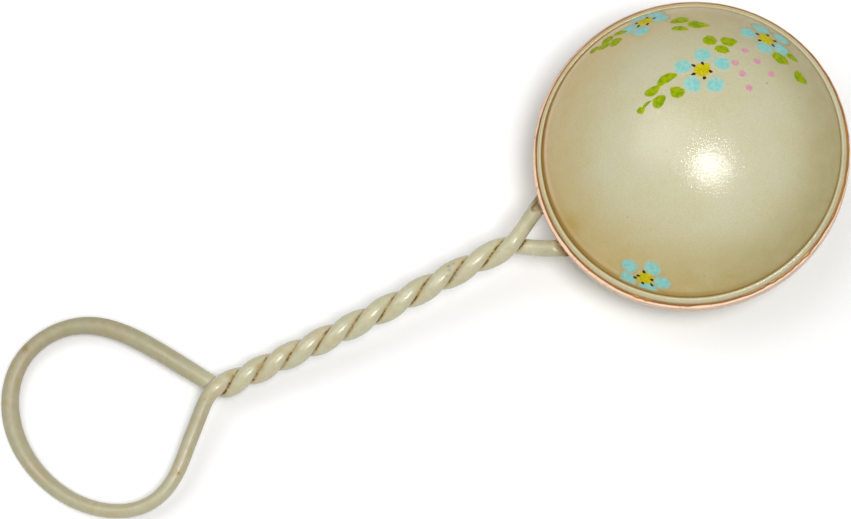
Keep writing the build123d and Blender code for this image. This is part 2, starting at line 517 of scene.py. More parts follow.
def age_shell(piece, points):
    """Store where a shell has yellowed and has painted shade, where its crease is grimy and has painted
    shade, and where its edge has a painted glow.
    """
    radius, degrees = round_rim(points)
    height = np.abs(points[:, 2])
    at_top = sector(degrees, TOP, 55)
    at_left = 0.5 + 0.5 * np.cos(np.radians(degrees - LEFT))
    on_bead = radius > BEAD_START
    # Yellowing towards the edge, with painted shade added near the top; on the bead, yellowing and painted
    # shade all round but its lower side, most towards the seam.
    stain_and_shade = edge_stain(points) + 0.25 * at_top * ease(20.0, 26.0, radius)
    stain_and_shade = stain_and_shade * (radius < DOME_END) + 0.5 * spot(points, -28.0, -5.2, 1.58)
    bead_stain_and_shade = 0.04 + 0.5 * at_top + 0.22 * sector(degrees, RIGHT, 32) + 0.22 * at_left**2
    bead_stain_and_shade += 0.1 * drift(points, 4.0, 2.9) + 0.6 * ease(3.15, 2.1, height)
    store(piece, "stain_and_shade", np.clip(stain_and_shade + bead_stain_and_shade * on_bead, 0, 1))
    # The crease by the dome's foot: grimy darkening and painted shade, most on the left and least at the
    # top; painted shade below the bead at the top.
    dirt_and_shade_band = ease(28.8, 29.2, radius) * (radius < DOME_END)
    crease = band(radius, CREASE_RADIUS, 0.17) * (height > 2.9)
    crease_dirt_and_shade = np.maximum(crease, (0.2 + 0.72 * at_left) * dirt_and_shade_band)
    crease_dirt_and_shade *= 0.5 + 0.5 * at_left - 0.40 * sector(degrees, TOP, 34) + 0.18 * drift(points, 3.0, 4.4)
    shade_below_bead = at_top * ease(2.7, 2.3, height) * (radius > 30.4)
    store(piece, "crease_dirt_and_shade", np.clip(np.maximum(crease_dirt_and_shade, 0.8 * shade_below_bead), 0, 1))
    # Painted glow along the left of the dome's foot.
    glow = band(radius, 28.55, 0.22) * at_left**4 * (0.55 + 0.35 * drift(points, 3.5, 8.1))
    store(piece, "glow", np.clip(glow, 0, 1))
    store(piece, "warm", np.maximum(warm_side(points), at_top * on_bead))


def make_shell(name, side, node):
    """A dome with its bead and lip, front or back."""
    outline, dome_points = shell_profile()
    points = turned(outline, AROUND)
    dome = slice(0, dome_points * AROUND)
    points[dome] = on_dome((points[dome] - SPHERE_CENTRE) / SPHERE_RADIUS, 0.0, side)
    points, faces = capped(points, AROUND, (0, 0, points[0, 2]), (0, 0, points[-1, 2]))
    points[:, 2] *= side
    piece = make_piece(name, points, faces, DOME_MATERIAL, node)
    age_shell(piece, points)


DOME_MATERIAL = dome_material()
make_shell("front_dome", 1, "front_shell")
make_shell("back_dome", -1, "back_shell")

# --- Rim hoop and its cement ---

HOOP_CREAM = (0.79, 0.52, 0.375)
HOOP_BROWN = (0.3, 0.17, 0.09)
AMBER = (0.46, 0.2, 0.022)
CEMENT_DARK = (0.26, 0.115, 0.03)

# Where cement oozed out in front: direction round the rim in degrees, spread, size
CEMENT_BLOBS = [
    (225.3, 1.6, 0.22),
    (229.0, 1.2, 0.2),
    (-67.4, 1.5, 0.22),
    (-71.5, 0.9, 0.16),
    (-75.5, 1.2, 0.18),
    (-79.5, 0.8, 0.14),
    (-83.0, 1.0, 0.18),
    (-87.5, 0.9, 0.14),
    (-20.0, 9.0, 0.09),
    (-45.0, 8.0, 0.1),
]


def hoop_material():
    """Thin band of darker, pinkish celluloid, grimy and with painted shade in its parting groove, and with
    painted shade below its ledges and by the bead at the top.
    """
    look = Look("hoop_celluloid")
    clouds = look.noise(5.0, seed=31.0)
    colour = look.mix(look.span(clouds, 0.35, 0.65, 0.0, 0.3), HOOP_CREAM, CREAM_WARM)
    smudges = look.noise(1.4, roughness=0.65, distortion=0.4, seed=35.0)
    colour = look.mix(look.span(smudges, 0.52, 0.72, 0.0, 0.45), colour, HOOP_BROWN)
    # Grimy darkening with painted shade in the groove, below the ledges and by the bead at the top.
    colour = look.mix(look.attribute("grime_and_shade"), colour, HOOP_BROWN)
    mottle = look.noise(0.8, seed=33.0)
    roughness = look.span(mottle, 0.3, 0.7, 0.28, 0.42)
    return look.finish(colour, roughness, celluloid_normal(look))


def lumpy_normal(look):
    """The lumps of dried cement."""
    return look.bump(look.noise(0.5, detail=3.0, roughness=0.5, seed=43.0), 0.5, 0.06)


def cement_material():
    """Aged cement: dark brown, with clear amber where it stands thick."""
    look = Look("aged_cement")
    flow = look.noise(2.4, distortion=0.6, seed=41.0)
    thick = look.math("ADD", look.attribute("thick"), look.span(flow, 0.35, 0.65, 0.0, 0.45))
    return look.finish(look.mix(thick, CEMENT_DARK, AMBER), 0.3, lumpy_normal(look))


def hoop_profile():
    """The closed outline of the hoop's section, with its parting groove."""
    corner = (HOOP_RADIUS - HOOP_ROUNDING, HOOP_HALF_WIDTH - HOOP_ROUNDING)
    half = [(HOOP_RADIUS - 0.10, 0.0), (HOOP_RADIUS - 0.03, 0.07)]
    half += [(HOOP_RADIUS, height) for height in (0.16, 0.7, 0.9, 1.15)]
    half += arc(corner, HOOP_ROUNDING, 0, 90, 6)
    half += [(HOOP_RADIUS - 0.4, HOOP_HALF_WIDTH), (HOOP_INNER_RADIUS, HOOP_HALF_WIDTH)]
    return [(radius, -height) for radius, height in half[:0:-1]] + half


def make_hoop():
    """The rim hoop, a little off the shells' centre."""
    outline = hoop_profile()
    points = turned(outline, AROUND)
    radius, degrees = round_rim(points)
    shift = HOOP_SHIFT * np.cos(np.radians(degrees - HOOP_SHIFT_TOWARDS))
    wave = 0.02 * drift(points, 7.0, 5.5)
    push_out(points, (wave + shift) * ease(HOOP_RADIUS - 0.5, HOOP_RADIUS - 0.2, radius))
    faces = grid_faces(len(outline), AROUND, close_rows=True)
    piece = make_piece("rim_band", points, faces, hoop_material(), "rim_hoop")
    height = np.abs(points[:, 2])
    # Grimy darkening and painted shade in the parting groove; painted shade, broken up, on the outer face
    # below the ledges; painted shade on the ledge by the bead at the top.
    groove = 1 - ease(0.03, 0.2, height)
    shade_below_ledge = ease(0.7, 1.1, height) * ease(1.56, 1.46, height)
    shade_below_ledge *= radius > HOOP_RADIUS - 0.1
    shade_by_bead = ease(HOOP_RADIUS - 0.02, HOOP_RADIUS - 0.22, radius) * (height > 1.5)
    ledge_shade_strength = np.clip(0.6 + 0.8 * drift(points, 2.6, 9.3), 0.15, 1.0)
    grime_and_shade = np.maximum(0.85 * groove, 0.75 * ledge_shade_strength * shade_below_ledge)
    store(piece, "grime_and_shade", np.maximum(grime_and_shade, 0.9 * shade_by_bead * sector(degrees, TOP, 60)))


def cement_profile():
    """The closed outline of the section of a ring of cement."""
    low = HOOP_HALF_WIDTH
    high = HOOP_HALF_WIDTH + CEMENT
    steps_out = [(-0.1, -0.01), (0.0, -0.02), (0.02, 0.03), (-0.02, 0.1)]
    outline = [(LIP_RADIUS + 0.1, low)]
    outline += [(OOZE_RADIUS + out, low + up) for out, up in steps_out]
    outline += [(BEAD_RADIUS + 0.08, high + 0.03), (BEAD_RADIUS - 0.02, high + 0.1)]
    outline += [(BEAD_RADIUS - BEAD_UNDERCUT, high), (LIP_RADIUS + 0.1, high)]
    return outline


def make_shell_cement(name, side, node):
    """The ring of cement between a shell and the hoop, uneven where it oozed out."""
    outline = cement_profile()
    points = turned(outline, AROUND)
    radius, degrees = round_rim(points)
    swell = 0.12 * drift(points, 3.0, 6.1 * side) + 0.07 * drift(points, 1.2, 2.7 * side)
    blobs = np.zeros(len(points))
    for direction, spread, size in CEMENT_BLOBS:
        blobs += size * sector(degrees, direction, spread) * (side > 0)
    loose = ease(BEAD_RADIUS - 0.08, OOZE_RADIUS - 0.1, radius)
    push_out(points, (swell + blobs) * loose)
    points[:, 2] *= side
    faces = grid_faces(len(outline), AROUND, close_rows=True)
    piece = make_piece(name, points, faces, CEMENT_MATERIAL, node)
    store(piece, "thick", np.clip(4 * blobs, 0, 1))


CEMENT_MATERIAL = cement_material()
make_hoop()
make_shell_cement("front_seam", 1, "front_shell_cement")
make_shell_cement("back_seam", -1, "back_shell_cement")

# --- Handle rod: its route ---

FIRST_CROSSING = -106.2
FIRST_HALF_TURN = 6.35
HALF_TURN_GROWTH = 0.115
HALF_TURNS = 9
STEPS_PER_HALF_TURN = 4
GRIP_SIDE_AT_LOOP = -2.8
GRIP_SIDE_AT_HEAD = -1.35
GRIP_BEND_START = -85.0
GRIP_BEND_END = -38.0
STRAND_OFFSET = 1.47
STRAND_RADIUS = 1.35
STRAND_WIDTH = 3.4
STRAND_DEPTH = 2.64
STOCK_WIDTH = 3.2
FLAT_SIDE = 3.4  # the power that shapes the strands' pressed sides; 2 is round
ROD_SIDES = 40
ROD_STEP = 0.3
RIM_RADIUS = HOOP_RADIUS + HOOP_SHIFT
ROD_END_RADIUS = RIM_RADIUS + 0.1

# The loop's route and the rod's thickness, from the first crossing round to the same
LOOP_ROUTE = [
    (-108.8, 1.0, -1.2, 3.55),
    (-112.5, 6.3, -0.5, 3.75),
    (-117.9, 14.1, 0.0, 3.8),
    (-124.8, 21.0, 0.0, 3.75),
    (-133.5, 23.3, 0.0, 3.1),
    (-142.1, 21.0, 0.0, 3.4),
    (-147.6, 14.3, 0.0, 3.6),
    (-149.4, 5.5, 0.0, 3.7),
    (-147.6, -3.4, 0.0, 3.25),
    (-143.3, -11.1, 0.0, 3.0),
    (-136.6, -16.9, 0.0, 2.85),
    (-128.6, -19.3, 0.0, 2.85),
    (-121.6, -16.4, 0.0, 2.9),
    (-116.6, -10.9, 0.1, 3.1),
    (-112.1, -6.7, 0.6, 3.0),
    (-108.7, -3.3, 1.2, 3.05),
]
# The legs' routes and thickness, from the last crossing into the rim
UPPER_LEG = [(-37.8, -0.3, 1.2, 3.1), (-34.35, 2.0, 0.7, 3.2), (-29.15, 5.1, 0.1, 3.2)]
LOWER_LEG = [(-37.3, -3.0, -1.2, 3.2), (-33.75, -5.2, -0.7, 3.4), (-28.5, -7.3, -0.1, 3.4)]
SCARF_DEPTH = 0.75
SCARF_SLOPE = 24.0
SCARF_REACH = 4.0
SCARF_LINE = 0.12
UP = np.array([0, 0, 1.0])


def grip_side(x):
    """How far the grip's axis lies beside the head's centre."""
    share = ease(GRIP_BEND_START, GRIP_BEND_END, x)
    return GRIP_SIDE_AT_LOOP + (GRIP_SIDE_AT_HEAD - GRIP_SIDE_AT_LOOP) * share


def twist_share(x):
    """1 where the rod is twisted, 0 on the loop and the legs."""
    return ease(-107.5, -104.5, x) * (1 - ease(-41.5, -38.5, x))


def strand_point(turned_by, opposite):
    """A corner of a strand's route and its width, after some half turns."""
    angle = math.radians(90 - 180 * turned_by) + math.pi * opposite
    x = FIRST_CROSSING + FIRST_HALF_TURN * turned_by + HALF_TURN_GROWTH * turned_by**2
    y = grip_side(x) + STRAND_OFFSET * math.cos(angle)
    return (x, y, STRAND_OFFSET * math.sin(angle), STRAND_WIDTH)


def rod_route():
    """The corners of the rod's route, from the upper leg round to the lower one."""
    steps = np.arange(HALF_TURNS * STEPS_PER_HALF_TURN + 1) / STEPS_PER_HALF_TURN
    upper = [strand_point(step, True) for step in steps]
    lower = [strand_point(step, False) for step in steps]
    return UPPER_LEG[::-1] + upper[::-1] + LOOP_ROUTE + lower + LOWER_LEG


def smooth_line(corners, step):
    """A cubic B-spline guided by corners, sampled about every step."""
    corners = np.array(corners, float)
    corners = np.vstack([corners[:1], corners[:1], corners, corners[-1:], corners[-1:]])
    line = []
    for first in range(len(corners) - 3):
        guides = corners[first : first + 4]
        samples = max(2, math.ceil(np.linalg.norm((guides[2] - guides[1])[:3]) / step))
        for t in np.arange(samples) / samples:
            weights = [(1 - t) ** 3, 3 * t**3 - 6 * t**2 + 4, -3 * t**3 + 3 * t**2 + 3 * t + 1, t**3]
            line.append(np.array(weights) @ guides / 6)
    line.append(corners[-1])
    kept = [line[0]]
    for point in line[1:]:
        if np.linalg.norm((point - kept[-1])[:3]) > step * 0.3:
            kept.append(point)
    return np.array(kept)


def carried_frames(line):
    """Directions along a line, and a side direction carried along it without twist."""
    ahead = np.gradient(line, axis=0)
    ahead /= np.linalg.norm(ahead, axis=1)[:, None]
    side = np.zeros_like(line)
    side[0] = square_to(ahead[0], np.cross(ahead[0], UP))
    for index in range(1, len(line)):
        side[index] = square_to(ahead[index], side[index - 1])
    return ahead, side


def slide_to_rim(points, ahead, radius):
    """Move points along a direction until they meet a cylinder about the head's axis."""
    run = ahead[0] ** 2 + ahead[1] ** 2
    inward = points[:, 0] * ahead[0] + points[:, 1] * ahead[1]
    outside = points[:, 0] ** 2 + points[:, 1] ** 2 - radius**2
    share = (-inward - np.sqrt(np.maximum(inward**2 - run * outside, 0))) / run
    return points + np.outer(share, ahead)


def rim_contact(leg):
    """Where a leg's axis meets the hoop, and the leg's direction."""
    start = np.array(leg[-2][:3])
    ahead = np.array(leg[-1][:3]) - start
    ahead /= np.linalg.norm(ahead)
    return slide_to_rim(start[None], ahead, RIM_RADIUS)[0], ahead


def cut_scarf(points, leg):
    """Flatten the front of a rod's end, where it was filed to seat on the rim.

    Gives 1 for each point on the flat's outline, falling to 0 beside it.
    """
    contact, ahead = rim_contact(leg)
    tilt = math.radians(SCARF_SLOPE)
    normal = math.cos(tilt) * UP + math.sin(tilt) * ahead
    start = contact + (leg[-1][3] / 2 - SCARF_DEPTH) * UP
    above = (points - start) @ normal
    near = np.linalg.norm(points - contact, axis=1) < SCARF_REACH
    cut = near & (above > 0)
    points[cut, 2] -= above[cut] / normal[2]
    return band(above, 0.02, SCARF_LINE) * near


# --- Handle rod: its surface ---

ROD_WARM = (0.51, 0.44, 0.265)
ROD_COOL = (0.485, 0.475, 0.3)
ROD_PALE = (0.54, 0.52, 0.375)
ROD_OCHRE = (0.43, 0.29, 0.1)
SCUFF_GREY = (0.2, 0.18, 0.15)
# Colour the loop is multiplied by for its painted shade
LOOP_PAINTED_SHADE = (0.7, 0.67, 0.62)

# Old stains and pits on the rod: place on the head's plane, spread, strength
ROD_MARKS = [
    (-139.9, 21.6, 0.9, 0.75),
    (-120.2, -15.4, 0.45, 0.9),
    (-109.3, -4.2, 0.35, 0.8),
    (-96.4, -3.0, 0.8, 0.95),
    (-102.6, -1.6, 0.8, 0.65),
    (-88.0, -3.0, 0.7, 0.4),
    (-62.0, -0.2, 0.7, 0.3),
    (-51.0, -1.0, 0.8, 0.35),
    (-72.5, -0.6, 0.6, 0.35),
]
# Grey scratches on the grip: place on the head's plane, spread
ROD_SCUFFS = [
    (-53.3, -0.4, 0.3),
    (-53.5, -1.2, 0.28),
    (-52.2, -0.3, 0.22),
    (-54.6, -1.9, 0.34),
    (-53.8, -2.9, 0.28),
    (-52.8, -2.5, 0.32),
    (-72.4, -0.8, 0.25),
]
# Places on the loop that handling has kept glossy: place on the head's plane, spread
ROD_POLISH = [(-147.4, -2.0, 3.2), (-113.2, 9.0, 3.2)]
# How rough the loop is and how much painted shade darkens it, from its lower side to its upper one: y,
# dullness and painted shade
LOOP_DULLNESS_AND_SHADE = [(-19.0, 0.42), (-6.0, 0.72), (8.0, 0.8), (20.0, 1.0)]

FAR = 99.0
OWN_REACH = 11.0  # how far along the rod a point's own strand reaches
BLOCK = 4000
CAP_DIRT_AND_SHADE = [0.9, 0.9]


def rod_material():
    """Glossy cream rod, grimy brown with painted shade where the strands of the twist meet, with old
    stains, and darkened by painted shade over the loop.
    """
    look = Look("rod_celluloid")
    clouds = look.noise(7.0, seed=51.0)
    streaks = look.noise(1.6, roughness=0.65, seed=53.0)
    colour = look.mix(look.span(clouds, 0.35, 0.65), ROD_WARM, ROD_COOL)
    colour = look.mix(look.span(streaks, 0.35, 0.68, 0.0, 0.75), colour, ROD_PALE)
    broken = look.noise(1.2, detail=5.0, roughness=0.7, seed=57.0)
    # Grimy brown with painted shade where the strands meet and by the rim, and old stains.
    dirt_and_shade = look.times(look.attribute("grime_and_shade"), look.span(broken, 0.3, 0.62, 0.35, 1.0))
    colour = look.mix(look.span(dirt_and_shade, 0.0, 0.5, 0.0, 0.6), colour, ROD_OCHRE)
    colour = look.mix(look.span(dirt_and_shade, 0.45, 0.95), colour, BROWN)
    colour = look.mix(look.attribute("line"), colour, BROWN)
    colour = look.mix(look.attribute("scuff"), colour, SCUFF_GREY)
    # Painted shade darkens the loop, most on its upper side; the same value also darkens the legs by the
    # rim and roughens both.
    dull_and_shaded = look.attribute("dull_and_shaded")
    colour = look.mix(dull_and_shaded, colour, look.mix(1.0, colour, LOOP_PAINTED_SHADE, "MULTIPLY"))
    wear = look.noise(1.5, roughness=0.7, seed=59.0)
    roughness = look.math("ADD", look.span(wear, 0.3, 0.7, 0.15, 0.3), look.times(dull_and_shaded, 0.25))
    polish = look.times(look.attribute("polish"), 0.3)
    roughness = look.math("SUBTRACT", roughness, polish)
    return look.finish(colour, roughness, celluloid_normal(look, 0.05))


def rod_rings(line, widths, ahead, side):
    """Rings of points round the rod's axis, pressed flat between the strands."""
    angles = ring_angles(ROD_SIDES)[:, None]
    rays = np.cos(angles) * side[:, None] + np.sin(angles) * np.cross(ahead, side)[:, None]
    grip_axis = np.stack([line[:, 0], grip_side(line[:, 0]), 0 * line[:, 0]], axis=1)
    twisted = twist_share(line[:, 0])[:, None]
    flat_to = square_to(ahead, twisted * square_to(ahead, line - grip_axis) + (1 - twisted) * UP)
    widths = widths[:, None]
    depths = widths + (STRAND_DEPTH - widths) * twisted
    depths += (STOCK_WIDTH - depths) * 0.5 * (1 - twisted)
    along = np.sum(rays * flat_to[:, None], axis=2)
    aside = np.sqrt(np.maximum(1 - along**2, 0))
    power = 2 + (FLAT_SIDE - 2) * (along < 0) * twisted
    reach = np.abs(2 * along / depths) ** power + (2 * aside / widths) ** power
    rounding = 1 + 0.012 * drift(line, 9.0, 1.9)[:, None]
    return line[:, None] + rays * (reach ** (-1 / power) * rounding)[:, :, None]


def gap_to_other_strand(points, owner, line):
    """Each point's distance from the surface of the rod's other strand."""
    steps = np.linalg.norm(np.diff(line, axis=0), axis=1)
    lengths = np.concatenate([[0], np.cumsum(steps)])
    gap = np.full(len(points), FAR)
    for start in range(0, len(points), BLOCK):
        block = slice(start, start + BLOCK)
        apart = np.linalg.norm(points[block, None] - line[None, ::2], axis=2)
        along = np.abs(lengths[owner[block], None] - lengths[None, ::2])
        apart[along < OWN_REACH] = FAR
        gap[block] = apart.min(axis=1)
    return gap - STRAND_RADIUS


def most_of(places, points):
    """The strongest of several spots (x, y, spread, strength) at each point."""
    marks = np.zeros(len(points))
    for x, y, spread, strength in places:
        marks = np.maximum(marks, strength * spot(points, x, y, spread))
    return marks


def finish_ends(points):
    """File the scarfs on the rod's ends. Gives the dark line, and the grimy darkening with painted shade by
    the rim.
    """
    line_dark = np.zeros(len(points))
    grime_and_shade = np.zeros(len(points))
    for leg in (UPPER_LEG, LOWER_LEG):
        contact, ahead = rim_contact(leg)
        leg_left = np.array([-ahead[1], ahead[0], 0])
        scarf_edge = cut_scarf(points, leg)
        away = round_rim(points)[0] - RIM_RADIUS
        at_end = points[:, 0] > contact[0] - 3
        left_side = ease(-0.6, 0.6, (points - contact) @ leg_left)
        line_dark = np.maximum(line_dark, (0.3 + 0.7 * left_side) * scarf_edge)
        line_dark = np.maximum(line_dark, 0.9 * (1 - ease(0.15, 0.5, away)) * at_end)
        # Grimy darkening with painted shade by the rim.
        grime_and_shade = np.maximum(grime_and_shade, 0.3 * (1 - ease(0.5, 2.5, away)) * at_end)
    return line_dark, grime_and_shade


def make_rod():
    """One round rod: leg, strand, finger loop, strand and leg."""
    route = smooth_line(rod_route(), ROD_STEP)
    line = route[:, :3]
    ahead, side = carried_frames(line)
    rings = rod_rings(line, route[:, 3], ahead, side)
    outside = np.hypot(rings[:, :, 0], rings[:, :, 1]).min(axis=1) > ROD_END_RADIUS
    first, last = np.nonzero(outside)[0][[0, -1]]
    rings[first] = slide_to_rim(rings[first], -ahead[first], ROD_END_RADIUS)
    rings[last] = slide_to_rim(rings[last], ahead[last], ROD_END_RADIUS)
    points = rings[first : last + 1].reshape(-1, 3)
    owner = np.repeat(np.arange(first, last + 1), ROD_SIDES)
    # Grimy darkening with painted shade where the strands press together, then old stains.
    grime_and_shade = 1 - ease(0.60, 1.12, gap_to_other_strand(points, owner, line))
    grime_and_shade = np.maximum(grime_and_shade, most_of(ROD_MARKS, points) * (points[:, 2] > -0.5))
    line_dark, end_grime_and_shade = finish_ends(points)
    points[:, 2] += 0.012 * drift(points, 2.2, 7.7)
    tips = points[:ROD_SIDES].mean(axis=0), points[-ROD_SIDES:].mean(axis=0)
    points, faces = capped(points, ROD_SIDES, *tips)
    piece = make_piece("twisted_handle", points, faces, rod_material(), "handle_rod")
    store(piece, "grime_and_shade", np.append(np.maximum(grime_and_shade, end_grime_and_shade), CAP_DIRT_AND_SHADE))
    store(piece, "line", np.append(line_dark, CAP_DIRT_AND_SHADE))
    # Painted shade and roughness over the loop, more on its upper side; the legs by the rim are darkened
    # and roughened too.
    on_loop = 1 - ease(-112.0, -104.0, points[:, 0])
    by_rim = ease(-37.0, -34.5, points[:, 0])
    dull_and_shaded = np.interp(points[:, 1], *zip(*LOOP_DULLNESS_AND_SHADE)) * on_loop
    store(piece, "dull_and_shaded", np.maximum(dull_and_shaded, 0.5 * by_rim))
    store(piece, "polish", most_of([(*place, 1.0) for place in ROD_POLISH], points))
    scuffs = most_of([(*place, 0.7) for place in ROD_SCUFFS], points)
    store(piece, "scuff", scuffs * (points[:, 2] > 0))


# --- Cement at the rod's ends ---

JOINT_BROWN = (0.13, 0.075, 0.032)
JOINT_TAN = (0.42, 0.34, 0.2)
# (radius, height off the hoop) from the hoop's face up onto the rod, then inside it
JOINT_FILLET = [(1.86, -0.03), (1.82, 0.03), (1.74, 0.09), (1.68, 0.16), (1.60, 0.24)]
JOINT_FILLET += [(1.40, 0.28), (1.0, 0.2)]
FILLET_SIDES = 48
LUMPS_START = 1.45  # only rings wider than this are lumpy
FILLET_HALF_HEIGHT = HOOP_HALF_WIDTH + 0.08


def joint_cement_material():
    """Cement at the rod's ends, smeared with dissolved celluloid."""
    look = Look("joint_cement")
    flow = look.noise(0.9, distortion=0.6, seed=47.0)
    colour = look.mix(look.span(flow, 0.4, 0.6), JOINT_BROWN, JOINT_TAN)
    return look.finish(colour, 0.4, lumpy_normal(look))


def make_joint_cement(name, leg, node, seed):
    """A lumpy fillet of cement where a rod's end meets the hoop."""
    contact, ahead = rim_contact(leg)
    across = square_to(ahead, np.cross(ahead, UP))
    above = np.cross(across, ahead)
    angles = ring_angles(FILLET_SIDES)
    around = np.stack([np.cos(angles), np.sin(angles)], 1)
    rings = []
    for radius, height in JOINT_FILLET:
        places = np.insert(around, 2, height, axis=1) * 1.6
        lumps = 0.10 * drift(places, 1.3, seed) * (radius > LUMPS_START)
        ring = contact + (radius + lumps)[:, None] * (around @ np.array([across, above]))
        ring[:, 2] = np.clip(ring[:, 2], -FILLET_HALF_HEIGHT, FILLET_HALF_HEIGHT)
        rings.append(slide_to_rim(ring, ahead, RIM_RADIUS + height))
    points = np.concatenate(rings)
    cut_scarf(points, leg)
    points, faces = capped(points, FILLET_SIDES, rings[0].mean(axis=0), rings[-1].mean(axis=0))
    make_piece(name, points, faces, JOINT_MATERIAL, node)


JOINT_MATERIAL = joint_cement_material()
make_rod()
make_joint_cement("upper_fillet", UPPER_LEG, "upper_joint_cement", 4.0)
make_joint_cement("lower_fillet", LOWER_LEG, "lower_joint_cement", 9.0)

# --- Pellets ---

CLAY_RED = (0.36, 0.19, 0.1)
CLAY_DARK = (0.2, 0.1, 0.055)
PELLETS = 7


def pellet_material():
    """Dull fired clay."""
    look = Look("pellet_clay")
    clouds = look.noise(1.2, detail=5.0, roughness=0.7, seed=61.0)
    colour = look.mix(look.span(clouds, 0.3, 0.7), CLAY_RED, CLAY_DARK)
    grit = look.noise(0.25, detail=3.0, roughness=0.5, seed=63.0)
    return look.finish(colour, 0.85, look.bump(grit, 0.6, 0.05), specular=0.3)


def make_pellet(number, material):
    """A hand-rolled clay ball, in the row's frame."""
    node = "pellet_%d" % number
    centre = middle(node)
    ball = bmesh.new()
    bmesh.ops.create_icosphere(ball, subdivisions=4, radius=1.0)
    for vertex in ball.verts:
        lump = noise.noise(vertex.co * 1.6 + Vector((number * 5.0, 0, 0)))
        vertex.co = centre + vertex.co * PELLET_RADIUS * MM * (0.97 + 0.03 * lump)
    mesh = bpy.data.meshes.new("clay_ball_%d" % number)
    ball.to_mesh(mesh)
    ball.free()
    add_piece(mesh, node, material, node)


clay = pellet_material()
for pellet_number in range(1, PELLETS + 1):
    make_pellet(pellet_number, clay)

# --- Painted flowers ---

# Paints: piece, material, colours where thin and thick, roughness, cover where worn, mottle size
PAINTS = {
    "painted_petals": ("petal_blue", (0.27, 0.58, 0.53), (0.155, 0.49, 0.49), 0.42, 0.84, 0.8),
    "painted_hearts": ("heart_yellow", (0.46, 0.34, 0.004), (0.58, 0.56, 0.004), 0.6, 1.0, 0.5),
    "painted_dots": ("dot_brown", (0.055, 0.03, 0.012), (0.018, 0.01, 0.006), 0.25, 1.0, 0.3),
    "painted_leaves": ("leaf_green", (0.34, 0.39, 0.001), (0.16, 0.285, 0.001), 0.6, 1.0, 0.9),
    "painted_buds": ("bud_pink", (0.61, 0.32, 0.37), (0.54, 0.23, 0.31), 0.42, 1.0, 0.6),
}

# Flowers: place of the centre, petals (distance, direction in degrees), dots from the centre
FLOWERS = [
    (
        (8.1, 9.9),
        [(3.9, 145), (3.7, 66), (4.2, 3), (4.2, -76), (3.9, -143)],
        [(-1.2, 1.6), (0.6, 1.4), (1.3, -0.9), (-0.4, -1.9), (-2.0, -0.3)],
    ),
    (
        (2.9, 26.9),
        [(3.1, -19), (3.2, 40), (3.3, 104), (3.5, -173), (4.0, -116)],
        [(1.9, -0.1), (-1.7, 0.7), (-1.7, -1.1), (0.1, -1.7), (0.7, 1.5)],
    ),
    (
        (22.6, 12.6),
        [(3.8, 156), (3.6, 82), (4.4, 15), (3.6, -47), (3.2, -118)],
        [(-1.4, 1.4), (-1.8, -0.7), (1.0, 1.4), (2.0, -0.2), (0.9, -1.8)],
    ),
    (
        (-18.8, -20.4),
        [(4.0, 125), (3.1, 43), (3.4, -29), (3.8, 177), (2.4, -99)],
        [(-2.1, 0.4), (-1.2, 0.8), (0.3, 1.6), (1.2, -0.5), (0.7, -1.8), (-1.0, -1.1)],
    ),
]
PETAL_SIZE = 4.5
HEART_SIZE = 3.55
PAINT_LIMIT = 29.4
LEAF_REACH = 1.1
LEAF_FULLNESS = 1.3

# Leaves: base, tip, width, sharpness of the tip, bend
LEAVES = [
    (10.8, 15.9, 13.4, 15.3, 2.4, 0.5, 0.05),
    (14.0, 14.7, 17.0, 13.5, 2.3, 0.8, -0.04),
    (12.3, 13.6, 14.5, 11.7, 1.9, 0.65, 0.05),
    (-1.0, 10.7, 3.4, 11.1, 1.7, 0.7, 0.06),
    (-4.0, 9.9, -0.6, 10.4, 1.6, 0.7, -0.06),
    (2.8, 6.6, 0.9, 8.9, 2.1, 0.8, 0.1),
    (-3.4, 6.6, -0.7, 8.0, 1.9, 0.6, 0.05),
    (-5.7, 7.3, -3.3, 8.2, 0.45, 0.8, 0.15),
    (-6.8, 7.5, -5.3, 7.3, 1.2, 0.5, 0.0),
    (-3.8, 27.4, -1.1, 26.1, 1.3, 0.8, 0.04),
    (-6.6, 26.9, -4.2, 26.6, 2.4, 0.7, 0.0),
    (-5.5, 24.9, -2.9, 24.9, 2.3, 0.7, 0.08),
    (-7.8, 25.8, -5.3, 25.3, 1.7, 0.7, 0.0),
    (-9.6, 26.3, -7.6, 26.1, 1.6, 0.8, 0.0),
    (10.6, 22.7, 7.0, 23.6, 2.1, 0.7, -0.05),
    (10.0, 21.7, 13.7, 19.2, 2.2, 0.9, -0.03),
    (6.7, 21.9, 9.5, 20.0, 1.4, 0.8, 0.05),
    (22.1, 8.5, 24.2, 5.8, 2.5, 0.7, 0.06),
    (24.8, 8.3, 26.4, 5.9, 1.6, 0.9, 0.0),
    (24.6, 3.8, 25.8, 0.9, 2.3, 0.7, -0.06),
]
BUDS = [(17.4, 10.9), (14.4, 8.9), (18.5, 7.8), (14.7, 6.2), (19.9, 4.4), (14.6, 2.9)]

SKIN = 0.010  # the least that paint stands off the dome
EDGE_DEPTH = 0.03  # how far a dab's outline is sunk into the dome
ROOT_DEPTH = 0.06
NEAR_EDGE = 0.97


def dab(direction, angle, outline, rise, soft, steps=9):
    """A thin raised skin of paint on the front dome: its points, its faces and how it covers.

    outline holds (x, y) points round it, in millimetres from direction.
    """
    shares = np.append(np.linspace(0, NEAR_EDGE, steps)[1:], 1.0)
    lifts = np.append(SKIN + rise * (1 - shares[:-1] ** 4), -EDGE_DEPTH)
    rings = [walk(direction, angle, *(outline.T * share)) for share in shares]
    rows = [on_dome(ring, lift) for ring, lift in zip(rings, lifts)]
    centre = walk(direction, angle, [0.0], [0.0])
    tips = on_dome(centre, SKIN + rise), on_dome(centre, -ROOT_DEPTH)
    points, faces = capped(np.concatenate(rows), len(outline), *tips)
    cover = np.repeat(1 - ease(1 - soft, 0.99, shares), len(outline))
    return points, faces, np.append(cover, [1, 1])


